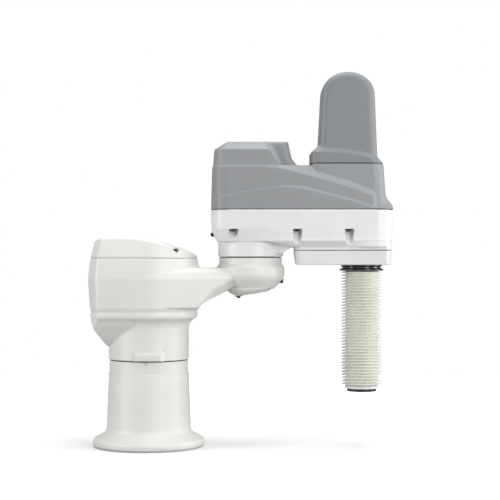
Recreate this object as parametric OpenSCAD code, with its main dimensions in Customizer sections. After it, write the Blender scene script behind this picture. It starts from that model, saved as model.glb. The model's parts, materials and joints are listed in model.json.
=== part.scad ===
// Four-axis SCARA robot arm on a round pedestal: two level links, a vertical quill in a bellows,
// and the drives inside. Millimetres, +Z up, origin on the first axis at the underside of the base,
// arm straight out along +X with the quill fully down.

/* [Reach and stroke] */
// First axis to second axis
upper_arm_len = 220; // [215:1:225]
// Second axis to quill axis
forearm_len = 240; // [236:1:244]
// Vertical travel of the quill
stroke = 200; // [150:5:200]

/* [Pedestal] */
// Radius of the base flange
flange_r = 120; // [116:1:130]
// Radius of the pedestal column near its foot
column_foot_r = 90.7; // [89:0.1:92]
// Radius of the pedestal column under its top step
column_top_r = 86.8; // [86:0.1:88]
// Height of the pedestal's top rim
pedestal_h = 186; // [184:1:187]
// Radius of the circle of base bolts
base_bolt_r = 105; // [102:1:108]
// Number of base bolts
base_bolts = 6; // [4:1:8]

/* [Upper arm] */
// Radius of the turning column
arm_column_r = 86.3; // [86:0.1:87]
// Radius of the hump's round front, which is also its half width
hump_r = 107.5; // [105:0.5:108]
// Height of the lid's parting line
lid_z = 405; // [403:1:407]
// Wall thickness of the castings
cast_wall = 6; // [5:0.5:8]

/* [Forearm] */
// Half width of the forearm
forearm_half_w = 82; // [80:1:85]
// Height of the joint between casting and cover
cover_z = 508; // [506:1:510]
// Wall thickness of the plastic covers
cover_wall = 3.5; // [3:0.5:4]
// Half width of the tower over the quill
tower_half_w = 52; // [50:1:56]

/* [Quill] */
// Radius of the hollow ball screw spline shaft
shaft_r = 12.5; // [12:0.1:13]
// Outer radius of the bellows
bellows_r = 43.6; // [42:0.1:44]
// Number of convolutions of the bellows
convolutions = 38; // [30:1:42]
// Radius of the tool flange
tool_flange_r = 31.5; // [31:0.1:33]
// Pitch circle diameter of the tool screws
tool_pcd = 50; // [50:0.5:52]

/* [Hidden] */
$fn = 96;

fit = 0.05;      // running clearance on a radius
gap = 0.3;       // clearance between a part and its neighbour
j2_x = upper_arm_len;
quill_x = upper_arm_len + forearm_len;
tower_x = quill_x - 31;

// Recess under the pedestal, with the connector plate in its roof
recess_r = 78;
plate_z = 36;
plate_top = 42;
plate_screw_r = 72;
base_hole_r = 4.25;
base_hole_depth = 13;
// Heights of the first joint
deck_z = 140;
deck_top = 156;
arm_floor_z = pedestal_h + 2;
arm_floor_top = arm_floor_z + 8;
gearbox_top = 262;
// Heights of the second joint
elbow_top = 406.5;
neck_z = 408.5;
bore_shoulder_z = 385;
// Ends of the forearm
rear_x = j2_x - 87;
front_x = quill_x + 67.6;
// Half width of the pan at the quill and at its narrow rear end
pan_half_w = forearm_half_w - 4;
pan_rear_half_w = forearm_half_w - 15;
// Heights of the forearm
tray_z = 441;
tray_floor_top = 447;
pan_z = 422;
cap_z = 391;
gasket_h = 1.6;
tower_z = 606;
hump_top = 654.6;
tower_shoulder_z = 756;
// The drives over and under the forearm's floor
j3_x = quill_x - 65;
j4_x = quill_x - 120;
lower_belt_z = 426;
upper_belt_z = 456;
bracket_z = 472;
bracket_top = 478;
// The quill
bellows_top = 376.5;
bellows_bottom = 131;
tool_face_z = 118.4;
shaft_top = bellows_top - 6.5 + stroke;
nut_r = 21;
pulley_r = 30;
motor_pulley_r = 12;
belt_w = 12;

// Pockets in the forearm's sides for the cover screws
cover_screw_x = [j2_x - 36, j2_x + 99, j2_x + 208.5];
cover_screw_y = forearm_half_w - 9;
pocket_top = 467;

white = [0.92, 0.92, 0.90];
grey = [0.58, 0.60, 0.62];
black = [0.08, 0.08, 0.09];
steel = [0.62, 0.63, 0.65];
cast = [0.78, 0.79, 0.80];
brass = [0.72, 0.58, 0.30];
ivory = [0.87, 0.87, 0.82];
green = [0.10, 0.35, 0.20];

// ---- shared shapes ----

// A rectangle from x0 to x1 with half width hw and round corners of radius r
function round_rect(x0, x1, hw, r, n = 6) = [
    for (c = [[x1 - r, hw - r, 0], [x0 + r, hw - r, 90], [x0 + r, r - hw, 180], [x1 - r, r - hw, 270]])
        for (i = [0:n])
            [c[0] + r * cos(c[2] + 90 * i / n), c[1] + r * sin(c[2] + 90 * i / n)]
];

module ring(r_out, r_in, z0, z1) {
    translate([0, 0, z0])
        difference() {
            cylinder(r = r_out, h = z1 - z0);
            translate([0, 0, -1])
                cylinder(r = r_in, h = z1 - z0 + 2);
        }
}

module disc(r, z0, z1) {
    translate([0, 0, z0])
        cylinder(r = r, h = z1 - z0);
}

// A plan outline raised from z0 to z1
module slab(pts, z0, z1) {
    translate([0, 0, z0])
        linear_extrude(height = z1 - z0)
            polygon(pts);
}

// A side outline in X and Z, spread to half_w on both sides
module side(pts, half_w) {
    rotate([90, 0, 0])
        linear_extrude(height = 2 * half_w, center = true)
            polygon(pts);
}

module at(x, y = 0) {
    translate([x, y, 0])
        children();
}

module around(count, r, start = 0) {
    for (i = [0:count - 1])
        rotate([0, 0, start + 360 * i / count])
            translate([r, 0, 0])
                children();
}

// A cap screw with a washer, head up, its seat at z = 0
module screw(shank_r, length, head_r, head_h, washer_r = 0, washer_h = 1.6) {
    translate([0, 0, -length])
        cylinder(r = shank_r, h = length + washer_h);
    if (washer_r > 0)
        cylinder(r = washer_r, h = washer_h);
    translate([0, 0, washer_h])
        cylinder(r = head_r, h = head_h);
}

// ---- pedestal ----

module base_pedestal() {
    outer = [
        [recess_r, 0], [flange_r - 2, 0], [flange_r, 2], [flange_r, 13], [flange_r - 3, 18],
        [flange_r - 10, 22], [94, 32], [91.6, 35.5], [column_foot_r, 41], [88.9, 98],
        [column_top_r, pedestal_h - 28.5], [column_top_r - 2.4, pedestal_h - 28.5],
        [84.4, pedestal_h], [80.3, pedestal_h], [80.3, deck_top], [22, deck_top], [22, deck_z],
        [58, deck_z], [58, plate_top], [recess_r, plate_top]
    ];
    color(white)
        difference() {
            rotate_extrude()
                polygon(outer);
            around(base_bolts, base_bolt_r, 30)
                disc(base_hole_r, -1, base_hole_depth);
            around(6, plate_screw_r, 30)
                disc(2.1, plate_top - 1, plate_top + 10);
            // Zero mark under the rim
            translate([-1.5, -90, pedestal_h - 8])
                cube([3, 7.2, 9]);
        }
}

module connector_plate() {
    color(cast)
        difference() {
            disc(recess_r - gap, plate_z, plate_top);
            at(0, 30)
                disc(14.2, 30, 50);
            for (s = [-1, 1])
                at(s * 34, 12)
                    disc(9.2, 30, 50);
            for (s = [-1, 1])
                at(s * 20, -32)
                    disc(5.2, 30, 50);
            around(6, plate_screw_r, 30)
                disc(2.2, 30, 50);
        }
}

module power_connector() {
    color(black)
        at(0, 30) {
            ring(19, 11, 20, 36);
            ring(14, 11, 35.9, 48);
            disc(11, 30, 48);
        }
}

module signal_connectors() {
    color(steel)
        for (s = [-1, 1])
            at(s * 34, 12) {
                ring(12.5, 7, 22, 36);
                ring(9, 7, 35.9, 46);
                disc(7, 30, 46);
            }
}

module air_fittings() {
    color(brass)
        for (s = [-1, 1])
            at(s * 20, -32) {
                ring(7, 3, 24, 36);
                ring(5, 3, 35.9, 50);
            }
}

module connector_plate_screws() {
    color(steel)
        around(6, plate_screw_r, 30)
            translate([0, 0, plate_z])
                rotate([180, 0, 0])
                    screw(2, 14, 3.5, 3, 0, 0);
}

module base_harness() {
    color(black)
        disc(10, plate_top, arm_floor_top);
}

module j1_bearing_outer_ring() {
    color(steel)
        ring(80, 70, deck_top, 180);
}

module j1_bearing_rollers() {
    color(steel)
        around(30, 65)
            disc(5 - fit, 163, 173);
}

module j1_fixed_flange() {
    color(cast)
        difference() {
            union() {
                disc(47, deck_top, 176);
                disc(30, 176, 206);
            }
            disc(12, 150, 210);
            around(8, 39)
                disc(3.3, 150, 210);
        }
}

module j1_flange_screws() {
    color(steel)
        around(8, 39)
            translate([0, 0, 176])
                screw(3, 19.8, 5, 6, 0, 0);
}

module j1_seal() {
    color(black)
        ring(83.4, 80.6, pedestal_h, pedestal_h + 1.7);
}

// ---- upper arm ----

// The hump over the first axis, seen from the side, below the lid
function hump_outline(inset) = [
    [-86 + inset, 213 + inset], [-125 + inset, 274 + inset / 2], [-130.3 + inset, 364],
    [-125.7 + inset, lid_z], [103 - inset, lid_z], [107.5 - inset, 387], [107.5 - inset, 299.5],
    [104.7 - inset, 285 + inset], [94 - inset, 270 + inset], [86 - inset, 253 + inset],
    [86 - inset, 213 + inset]
];

// The lid, seen from the side
function lid_outline(inset) = [
    [-125.7 + inset, lid_z + gasket_h], [-120.3 + inset, 427], [-114.9 + inset, 444 - inset],
    [-95, 448 - inset], [-62, 449.6 - inset], [-6, 446 - inset], [30, 438.6 - inset],
    [59, 430 - inset], [100 - inset, 414.4 - inset], [102.5 - inset, lid_z + gasket_h]
];

// The hump, seen from above: a round front on the first axis, flat sides and a bowed rear
function hump_plan(inset) = concat(
    [for (a = [-90:7.5:90]) [(hump_r - inset) * cos(a), (hump_r - inset) * sin(a)]],
    [for (a = [0:30:90]) [-98 - (9 - inset) * sin(a), hump_r - 9 + (9 - inset) * cos(a)]],
    [for (y = [80:-20:-80]) [inset - rear_bow(y), y]],
    [for (a = [90:-30:0]) [-98 - (9 - inset) * sin(a), 9 - hump_r - (9 - inset) * cos(a)]]
);

// How far behind the first axis the bowed rear lies at a side distance y
function rear_bow(y) = 130.3 - (244 - sqrt(244 * 244 - y * y));

// The beam from above: tangent lines from the hump's round front to a smaller circle on the elbow
beam_tip_r = 48.3;
beam_angle = asin((hump_r - beam_tip_r) / upper_arm_len);

function beam_plan() = [
    [hump_r * sin(beam_angle), hump_r * cos(beam_angle)],
    [j2_x + beam_tip_r * sin(beam_angle), beam_tip_r * cos(beam_angle)],
    [j2_x + beam_tip_r * sin(beam_angle), -beam_tip_r * cos(beam_angle)],
    [hump_r * sin(beam_angle), -hump_r * cos(beam_angle)]
];

module beam() {
    beam_side = [
        [20, 285], [102, 285], [107.5, 299.5], [120, 310], [143, 322.6], [j2_x - 59.4, 330.7],
        [j2_x - 41.5, 345], [j2_x, 345], [j2_x, 384.5], [20, 384.5]
    ];
    intersection() {
        side(beam_side, hump_r);
        slab(beam_plan(), 280, 390);
    }
}

module elbow_boss() {
    at(j2_x)
        rotate_extrude()
            polygon([
                [0, 339], [50, 339], [59, 348], [73, 364], [73, 387], [67.7, 395],
                [67.7, elbow_top], [0, elbow_top]
            ]);
}

// The hump narrows to a keel where it meets the column behind
module keel() {
    widths = [[0, 213], [28, 217], [53, 230], [73, 248], [90, 262], [103, 278], [hump_r, 296],
        [hump_r, lid_z]];
    rotate([90, 0, 90])
        linear_extrude(height = 400, center = true)
            polygon(concat(widths, [for (i = [len(widths) - 1:-1:1]) [-widths[i][0], widths[i][1]]]));
}

module upper_arm_casting() {
    color(white)
        difference() {
            union() {
                disc(arm_column_r, arm_floor_z, 300);
                intersection() {
                    side(hump_outline(0), hump_r + 1);
                    slab(hump_plan(0), 200, lid_z);
                    keel();
                }
                beam();
                elbow_boss();
                // Index tab on the turning column
                translate([-26, -91, arm_floor_z])
                    cube([52, 12, 22]);
            }
            // Column and hump are hollow
            disc(48, arm_floor_z - 1, arm_floor_top + 1);
            disc(78, arm_floor_top, 285);
            difference() {
                intersection() {
                    side(hump_outline(cast_wall), hump_r);
                    slab(hump_plan(cast_wall), 284, lid_z + 1);
                }
                lid_screw_places()
                    disc(11, -34, 2);
            }
            // Cable duct through the beam
            translate([90, -34, 338])
                cube([96, 68, 38]);
            // Seat of the second axis
            at(j2_x) {
                disc(20, 330, 400);
                disc(50, 347, 400);
                disc(58, bore_shoulder_z, 410);
            }
            lid_screw_places()
                disc(2.6, -22, 1);
            // Holes of the elbow's two screws, one with a spot face
            elbow_side_screw() {
                disc(2.6, -14, 1);
                disc(8.8, 0, 12);
            }
            elbow_low_screw()
                disc(2.6, -23, 1);
        }
}

module lid_screw_places() {
    for (place = [[-110, 45], [62, 76]])
        for (s = [-1, 1])
            translate([place[0], s * place[1], lid_z])
                children();
}

module upper_arm_lid() {
    color(white)
        difference() {
            intersection() {
                side(lid_outline(0), hump_r);
                slab(hump_plan(1), lid_z, 460);
                lid_lean(1);
            }
            difference() {
                intersection() {
                    side(lid_outline(cast_wall), hump_r);
                    slab(hump_plan(cast_wall), lid_z, 450);
                    lid_lean(cast_wall);
                }
                lid_screw_places()
                    disc(10, 0, 60);
            }
            lid_screw_places() {
                disc(2.8, -1, 60);
                disc(10, 12, 60);
            }
        }
}

// The lid's sides lean inwards
module lid_lean(inset) {
    low = hump_r - inset;
    rotate([0, 90, 0])
        linear_extrude(height = 400, center = true)
            polygon([[-lid_z, -low], [-455, 13 - low], [-455, low - 13], [-lid_z, low]]);
}

module lid_gasket() {
    color(black)
        difference() {
            slab(hump_plan(1.6), lid_z, lid_z + gasket_h);
            slab(hump_plan(cast_wall - 0.5), lid_z - 1, lid_z + 3);
        }
}

module lid_screws() {
    color(black)
        lid_screw_places()
            translate([0, 0, 12])
                screw(2.5, 30, 3.3, 4, 8, 1.6);
}

module j1_bearing_inner_ring() {
    color(steel)
        ring(60, 50, deck_top + 2, arm_floor_z);
}

module j1_gearbox() {
    color(steel)
        difference() {
            union() {
                disc(70, arm_floor_top, 214);
                disc(62, 214, gearbox_top);
            }
            disc(30 + gap, 190, 208);
        }
}

module j1_motor() {
    color(black) {
        disc(52, gearbox_top, 272);
        disc(44, 272, 372);
    }
}

module j1_encoder() {
    color(steel)
        disc(34, 372, 396);
}

module arm_harness() {
    color(black)
        translate([60, 0, 355])
            rotate([0, 90, 0])
                cylinder(r = 9, h = 108);
}

module j2_gearbox() {
    color(steel)
        at(j2_x)
            difference() {
                disc(49.7, 347, 384);
                disc(20 + gap, 372, 390);
            }
}

module j2_bearing_outer_ring() {
    color(steel)
        at(j2_x)
            ring(57.8, 52, bore_shoulder_z, 403);
}

module j2_seal() {
    color(black)
        at(j2_x)
            ring(66, 58.5, elbow_top, elbow_top + 1.7);
}

// Underside of the elbow: a shallow dish that slopes down towards the beam
module elbow_cover() {
    color(white)
        difference() {
            intersection() {
                side([[j2_x - 59.6, 330.5], [j2_x - 43.4, 323.5], [j2_x - 31, 322.6], [j2_x - 13, 326],
                    [j2_x + 37, 334], [j2_x + 42, 337.6], [j2_x - 50, 337.6]], 48);
                slab(round_rect(j2_x - 62, j2_x + 44, 46, 40), 300, 338);
            }
            at(j2_x)
                disc(24, 331, 340);
            elbow_low_screw() {
                disc(2.6, -23, 1);
                disc(8.4, 0, 12);
            }
        }
}

module elbow_cover_gasket() {
    color(black)
        at(j2_x)
            ring(38, 32, 337.6, 339);
}

// On the elbow's outer chamfer
module elbow_side_screw() {
    translate([j2_x + 66, 0, 356])
        rotate([0, 139, 0])
            children();
}

// Under the dish
module elbow_low_screw() {
    translate([j2_x - 26, 0, 324.4])
        rotate([0, 180, 0])
            children();
}

module elbow_cover_screws() {
    color(black) {
        elbow_side_screw()
            screw(2.5, 13, 3.3, 3.5, 8, 1.4);
        elbow_low_screw()
            screw(2.5, 22, 3.3, 3.5, 8, 1.4);
    }
}

// ---- forearm ----

// The casting's outline from above, and that of the pan under its quill end
function tray_plan(inset) =
    round_rect(rear_x + inset, front_x - inset, forearm_half_w - inset, 42 - inset);
function pan_plan(inset) = concat(
    [for (a = [0:15:90]) pan_corner(quill_x + 18, pan_half_w, 40, inset, a, 1)],
    [for (a = [90:15:180]) pan_corner(quill_x - 112.4, pan_rear_half_w, 34, inset, a, 1)],
    [for (a = [180:-15:90]) pan_corner(quill_x - 112.4, pan_rear_half_w, 34, inset, a, -1)],
    [for (a = [90:-15:0]) pan_corner(quill_x + 18, pan_half_w, 40, inset, a, -1)]
);

function pan_corner(x, half_w, r, inset, a, s) =
    [x + (r - inset) * cos(a), s * (half_w - r + (r - inset) * sin(a))];

module cover_screw_places() {
    for (x = cover_screw_x)
        for (s = [-1, 1])
            at(x, s * cover_screw_y)
                children();
}

module forearm_casting() {
    color(white)
        difference() {
            union() {
                slab(tray_plan(0), 460, cover_z);
                slab(tray_plan(4), 450, 460);
                slab(tray_plan(9), tray_z, 450);
                slab(pan_plan(0), pan_z, tray_z);
                at(j2_x)
                    disc(70, neck_z, tray_z);
            }
            difference() {
                slab(tray_plan(cast_wall + 4), tray_floor_top, cover_z + 1);
                cover_screw_places()
                    disc(16, tray_z, cover_z);
            }
            // The belt space under the floor
            slab(pan_plan(cast_wall), pan_z - 1, tray_z);
            // Passage for the quill and its nuts
            at(quill_x)
                disc(34, pan_z, tray_floor_top + 1);
            at(j4_x)
                disc(14, pan_z, tray_floor_top + 1);
            // Passage at the second axis
            at(j2_x) {
                disc(46, neck_z + 8, tray_floor_top + 1);
                disc(24, neck_z - 1, neck_z + 9);
            }
            cover_screw_places()
                disc(3.3, tray_z - 1, cover_z + 1);
            // Pockets of the cover screws, shallower beside the pan
            for (x = cover_screw_x)
                for (s = [-1, 1]) {
                    translate([x - 10, s * (cover_screw_y + 0.5) - 10, tray_z])
                        cube([20, 20, pocket_top - tray_z]);
                    translate([x - 7, s * (cover_screw_y + 6) - 10, pan_z])
                        cube([14, 20, pocket_top - pan_z]);
                }
            rear_screw_place() {
                disc(2.6, -16, 1);
                disc(9.4, 0, 20);
            }
        }
}

// On the slope under the rear end
module rear_screw_place() {
    translate([rear_x + 4, 0, 457])
        rotate([0, -120, 0])
            children();
}

module j2_bearing_inner_ring() {
    color(steel)
        at(j2_x)
            ring(52 - fit, 44.3, 391, neck_z);
}

module j2_output_flange() {
    color(cast)
        at(j2_x)
            difference() {
                union() {
                    disc(44, 391, neck_z);
                    disc(20, 374, 391);
                }
                disc(9, 370, 410);
            }
}

module j2_motor() {
    color(black)
        at(j2_x) {
            disc(24 - gap, neck_z, tray_floor_top);
            disc(52, tray_floor_top, 455);
            disc(40, 455, 582);
            disc(32, 582, 612);
        }
}

// The grey cover from the side: a hump over the second axis and a deck under the tower
function cover_outline(inset) = [
    [rear_x + inset, cover_z + gasket_h - inset], [rear_x + 3.5 + inset, 598],
    [rear_x + 9.2 + inset, 637 - inset / 2], [rear_x + 33 + inset / 2, 651 - inset / 2],
    [rear_x + 43 + inset / 2, hump_top - inset], [j2_x + 78 - inset, hump_top - inset],
    [j2_x + 88 - inset, 619 - inset / 2], [j2_x + 98 - inset / 2, tower_z - inset],
    [front_x - 23.6 - inset, tower_z - inset], [front_x - 18.9 - inset, 535],
    [front_x - 9 - inset, 524 - inset / 2], [front_x - 0.2 - inset, 512 - inset],
    [front_x - 0.2 - inset, cover_z + gasket_h - inset]
];

module forearm_cover() {
    color(grey)
        difference() {
            intersection() {
                side(cover_outline(0), forearm_half_w);
                slab(tray_plan(0), cover_z, 660);
                lean(0);
            }
            difference() {
                intersection() {
                    side(cover_outline(cover_wall), forearm_half_w);
                    slab(tray_plan(cover_wall), cover_z, 660);
                    lean(cover_wall);
                }
                cover_screw_places()
                    disc(8, cover_z, 526);
            }
            slab(tower_plan(cover_wall + 1), 590, 620);
            cover_screw_places()
                disc(3.1, cover_z, 524);
        }
}

// The cover's sides step in and lean inwards above the ledge
module lean(inset) {
    w = forearm_half_w - inset;
    rotate([0, 90, 0])
        linear_extrude(height = 1200, center = true)
            polygon([[-500, -w], [-540, -w + 2], [-600, -w + 14], [-660, -w + 24],
                [-660, w - 24], [-600, w - 14], [-540, w - 2], [-500, w]]);
}

module cover_gasket() {
    color(black)
        difference() {
            slab(tray_plan(1), cover_z, cover_z + gasket_h);
            slab(tray_plan(cover_wall - 0.5), cover_z - 1, cover_z + 3);
        }
}

module cover_screws() {
    color(black) {
        cover_screw_places()
            translate([0, 0, pocket_top])
                rotate([180, 0, 0])
                    screw(3, 53, 3.3, 4, 9, 1.6);
        rear_screw_place()
            screw(2.5, 10, 3.3, 4, 9, 1.6);
    }
}

// The tower stands a little inboard of the quill, on a wider collar
function tower_plan(inset) =
    round_rect(tower_x - 80 + inset, tower_x + 74 - inset, tower_half_w + 10 - inset, 30 - inset);

// The tower from the side, with an elliptical top
function tower_outline(inset) = concat(
    [[tower_x - 80 + inset, tower_z + gasket_h - inset], [tower_x - 80 + inset, 634 - inset],
        [tower_x - 63 + inset, 641 - inset], [tower_x - 57 + inset, tower_shoulder_z]],
    [for (a = [15:15:165])
        [tower_x - (57 - inset) * cos(a), tower_shoulder_z + (52 - inset) * sin(a)]],
    [[tower_x + 57 - inset, tower_shoulder_z], [tower_x + 62 - inset, 626 - inset],
        [tower_x + 72.4 - inset, 615.6 - inset], [tower_x + 74 - inset, tower_z + gasket_h - inset]]
);

module tower_solid(inset) {
    w = tower_half_w - inset;
    collar = w + 10;
    intersection() {
        side(tower_outline(inset), 70);
        slab(tower_plan(inset), tower_z, 810);
        rotate([0, 90, 0])
            linear_extrude(height = 1200, center = true)
                polygon([[-600, -collar], [inset - 625, -collar], [inset - 640, -w], [-790, -w + 3],
                    [inset - 812, -w + 22], [inset - 812, w - 22], [-790, w - 3], [inset - 640, w],
                    [inset - 625, collar], [-600, collar]]);
    }
}

module tower_cover() {
    color(grey)
        difference() {
            tower_solid(0);
            tower_solid(cover_wall);
            slab(tower_plan(cover_wall), tower_z, tower_z + 8);
        }
}

module tower_gasket() {
    color(black)
        difference() {
            slab(tower_plan(1), tower_z, tower_z + gasket_h);
            slab(tower_plan(cover_wall), tower_z - 1, tower_z + 3);
        }
}

module quill_bottom_cap() {
    color(white)
        difference() {
            slab(pan_plan(1), cap_z, pan_z - 1.4);
            difference() {
                slab(pan_plan(cast_wall), cap_z + 6, pan_z);
                at(quill_x)
                    disc(37, cap_z, pan_z);
            }
            at(quill_x) {
                disc(14.5, cap_z - 1, pan_z);
                disc(22, cap_z + 8, pan_z);
                disc(30.1, cap_z + 11, pan_z + 1);
            }
        }
}

module bottom_cap_gasket() {
    color(black)
        difference() {
            slab(pan_plan(1.6), pan_z - 1.4, pan_z);
            slab(pan_plan(cast_wall - 0.5), pan_z - 3, pan_z + 3);
        }
}

module drive_bracket() {
    color(cast)
        difference() {
            union() {
                slab(round_rect(quill_x - 94, quill_x + 46, 52, 12), bracket_z, bracket_top);
                for (x = [quill_x - 86, quill_x + 38])
                    for (s = [-1, 1])
                        at(x, s * 44)
                            disc(6, tray_floor_top, bracket_z);
            }
            at(quill_x)
                disc(34.1, 460, 500);
            at(j3_x)
                disc(14, 460, 500);
        }
}

module nut_housing() {
    color(steel)
        at(quill_x)
            ring(34, nut_r + fit, 470, 494);
}

module spline_nut_bearing() {
    color(steel)
        at(quill_x)
            ring(30, nut_r + fit, cap_z + 11, pan_z - 4);
}

module servo(z0, length, r) {
    difference() {
        union() {
            slab(round_rect(-r, r, r, 6, 3), z0, z0 + length);
            disc(r * 0.8, z0 + length, z0 + length + 22);
        }
        disc(5 + fit, z0 - 1, z0 + 16);
    }
}

module j3_motor() {
    color(black)
        at(j3_x)
            servo(bracket_top, 100, 28);
}

module j4_motor() {
    color(black)
        at(j4_x)
            servo(tray_floor_top, 96, 26);
}

module belt(x, z0) {
    clear = 0.4;
    thick = 1.8;
    translate([0, 0, z0])
        linear_extrude(height = belt_w)
            difference() {
                hull() {
                    translate([quill_x, 0])
                        circle(r = pulley_r + clear + thick);
                    translate([x, 0])
                        circle(r = motor_pulley_r + clear + thick);
                }
                hull() {
                    translate([quill_x, 0])
                        circle(r = pulley_r + clear);
                    translate([x, 0])
                        circle(r = motor_pulley_r + clear);
                }
            }
}

module j3_belt() {
    color(black)
        belt(j3_x, upper_belt_z);
}

module j4_belt() {
    color(black)
        belt(j4_x, lower_belt_z);
}

module drive_board() {
    color(green) {
        translate([j2_x + 60, 52, 478])
            cube([90, 2, 76]);
        translate([j2_x + 70, 46, 496])
            cube([40, 6, 40]);
    }
}

module bellows_top_clamp() {
    color(black)
        at(quill_x)
            rotate_extrude()
                polygon([[33, bellows_top], [46, bellows_top], [47.4, 378], [47.4, 381], [42, 382.5],
                    [42, 387], [44.6, 388.5], [44.6, cap_z], [33, cap_z]]);
}

// Zigzag wall of the bellows, as radius and height
function zigzag(r_crest, r_root) = [
    for (i = [0:2 * convolutions])
        [i % 2 == 0 ? r_root : r_crest,
            bellows_bottom + (bellows_top - bellows_bottom) * i / (2 * convolutions)]
];

module bellows() {
    outer = zigzag(bellows_r, bellows_r - 8.6);
    inner = zigzag(bellows_r - 1.6, bellows_r - 10.2);
    color(ivory)
        at(quill_x)
            rotate_extrude()
                polygon(concat(outer, [for (i = [len(inner) - 1:-1:0]) inner[i]]));
}

// ---- turning nuts and pulleys ----

module screw_nut() {
    color(steel)
        at(quill_x)
            ring(nut_r, shaft_r + fit, 452, 498);
}

module screw_nut_pulley() {
    color(cast)
        at(quill_x)
            ring(pulley_r, nut_r + 0.02, upper_belt_z, upper_belt_z + belt_w);
}

module spline_nut() {
    color(steel)
        at(quill_x)
            ring(nut_r, shaft_r + fit, cap_z + 9.3, 440);
}

module spline_nut_pulley() {
    color(cast)
        at(quill_x)
            ring(pulley_r, nut_r + 0.02, lower_belt_z, lower_belt_z + belt_w);
}

module motor_pulley(z0, z_end) {
    disc(motor_pulley_r, z0, z0 + belt_w);
    disc(5, z0 + belt_w, z_end);
}

module j3_motor_pulley() {
    color(cast)
        at(j3_x)
            motor_pulley(upper_belt_z, bracket_top + 14);
}

module j4_motor_pulley() {
    color(cast)
        at(j4_x)
            motor_pulley(lower_belt_z, tray_floor_top + 14);
}

// ---- quill ----

module bellows_lower_cuff() {
    color(white)
        at(quill_x) {
            ring(36, 24.02, 124.6, bellows_bottom);
            ring(30, 24.02, bellows_bottom, 142);
        }
}

module cuff_bearing() {
    color(steel)
        at(quill_x)
            ring(24, 16 + fit, 126, 138);
}

module quill_shaft() {
    color(steel)
        at(quill_x)
            ring(shaft_r, 6, 124, shaft_top);
}

module quill_stop_collar() {
    color(steel)
        at(quill_x)
            ring(19, shaft_r + 0.02, 500, 511);
}

module tool_flange() {
    color(black)
        at(quill_x)
            difference() {
                union() {
                    disc(tool_flange_r, tool_face_z, 124);
                    disc(16, 124, 140);
                    disc(14.5, tool_face_z - 1.4, tool_face_z);
                }
                disc(shaft_r + 0.02, 124, 141);
                disc(6, 110, 125);
                around(4, tool_pcd / 2, 45)
                    disc(2.5, 110, 130);
            }
}

base_pedestal();
connector_plate();
power_connector();
signal_connectors();
air_fittings();
connector_plate_screws();
base_harness();
j1_bearing_outer_ring();
j1_bearing_rollers();
j1_fixed_flange();
j1_flange_screws();
j1_seal();
upper_arm_casting();
upper_arm_lid();
lid_gasket();
lid_screws();
j1_bearing_inner_ring();
j1_gearbox();
j1_motor();
j1_encoder();
arm_harness();
j2_gearbox();
j2_bearing_outer_ring();
j2_seal();
elbow_cover();
elbow_cover_gasket();
elbow_cover_screws();
forearm_casting();
j2_bearing_inner_ring();
j2_output_flange();
j2_motor();
forearm_cover();
cover_gasket();
cover_screws();
tower_cover();
tower_gasket();
quill_bottom_cap();
bottom_cap_gasket();
drive_bracket();
nut_housing();
spline_nut_bearing();
j3_motor();
j4_motor();
j3_belt();
j4_belt();
drive_board();
bellows_top_clamp();
bellows();
screw_nut();
screw_nut_pulley();
spline_nut();
spline_nut_pulley();
j3_motor_pulley();
j4_motor_pulley();
bellows_lower_cuff();
cuff_bearing();
quill_shaft();
quill_stop_collar();
tool_flange();
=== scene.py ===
"""Looks of the SCARA arm: castings, covers, bellows and screws built over the CAD frame.

Shapes are written in millimetres in the CAD frame and turned into metres when a piece is made.
A solid is a signed distance function f(x, y, z): negative inside, positive outside.
"""

import json
import math

import bpy
import numpy as np
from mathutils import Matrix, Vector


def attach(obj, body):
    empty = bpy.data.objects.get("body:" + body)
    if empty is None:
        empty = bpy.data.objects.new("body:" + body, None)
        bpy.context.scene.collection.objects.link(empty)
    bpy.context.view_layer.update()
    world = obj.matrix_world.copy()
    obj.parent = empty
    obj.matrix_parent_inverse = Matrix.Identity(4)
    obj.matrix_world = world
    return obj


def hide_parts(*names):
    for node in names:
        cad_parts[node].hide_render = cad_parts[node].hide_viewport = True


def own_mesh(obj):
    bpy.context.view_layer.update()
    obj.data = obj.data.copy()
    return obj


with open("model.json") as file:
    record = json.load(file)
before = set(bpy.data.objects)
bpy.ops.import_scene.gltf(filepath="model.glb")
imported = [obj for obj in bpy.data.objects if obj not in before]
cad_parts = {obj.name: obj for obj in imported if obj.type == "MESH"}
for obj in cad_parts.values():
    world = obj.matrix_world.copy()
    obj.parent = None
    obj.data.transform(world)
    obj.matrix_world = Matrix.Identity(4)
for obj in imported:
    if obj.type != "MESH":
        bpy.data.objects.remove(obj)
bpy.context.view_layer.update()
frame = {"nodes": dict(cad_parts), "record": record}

MM = 0.001
# Where the elbow's axis, the quill's axis and the middle of the tower lie along X
J2_X = 220.0
QUILL_X = 460.0
TOWER_X = 429.0

# ---------------------------------------------------------------- distance functions


def smax(a, b, r):
    """Intersection of two solids with an edge of radius r."""
    u, v = np.maximum(a + r, 0), np.maximum(b + r, 0)
    return np.minimum(-r, np.maximum(a, b)) + np.sqrt(u * u + v * v)


def smin(a, b, r):
    """Union of two solids with a fillet of radius r."""
    return -smax(-a, -b, r)


def rect(u, v, u0, u1, v0, v1, r):
    """A rectangle with round corners."""
    du = np.abs(u - (u0 + u1) / 2) - (u1 - u0) / 2 + r
    dv = np.abs(v - (v0 + v1) / 2) - (v1 - v0) / 2 + r
    return np.minimum(np.maximum(du, dv), 0) + np.hypot(np.maximum(du, 0), np.maximum(dv, 0)) - r


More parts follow.
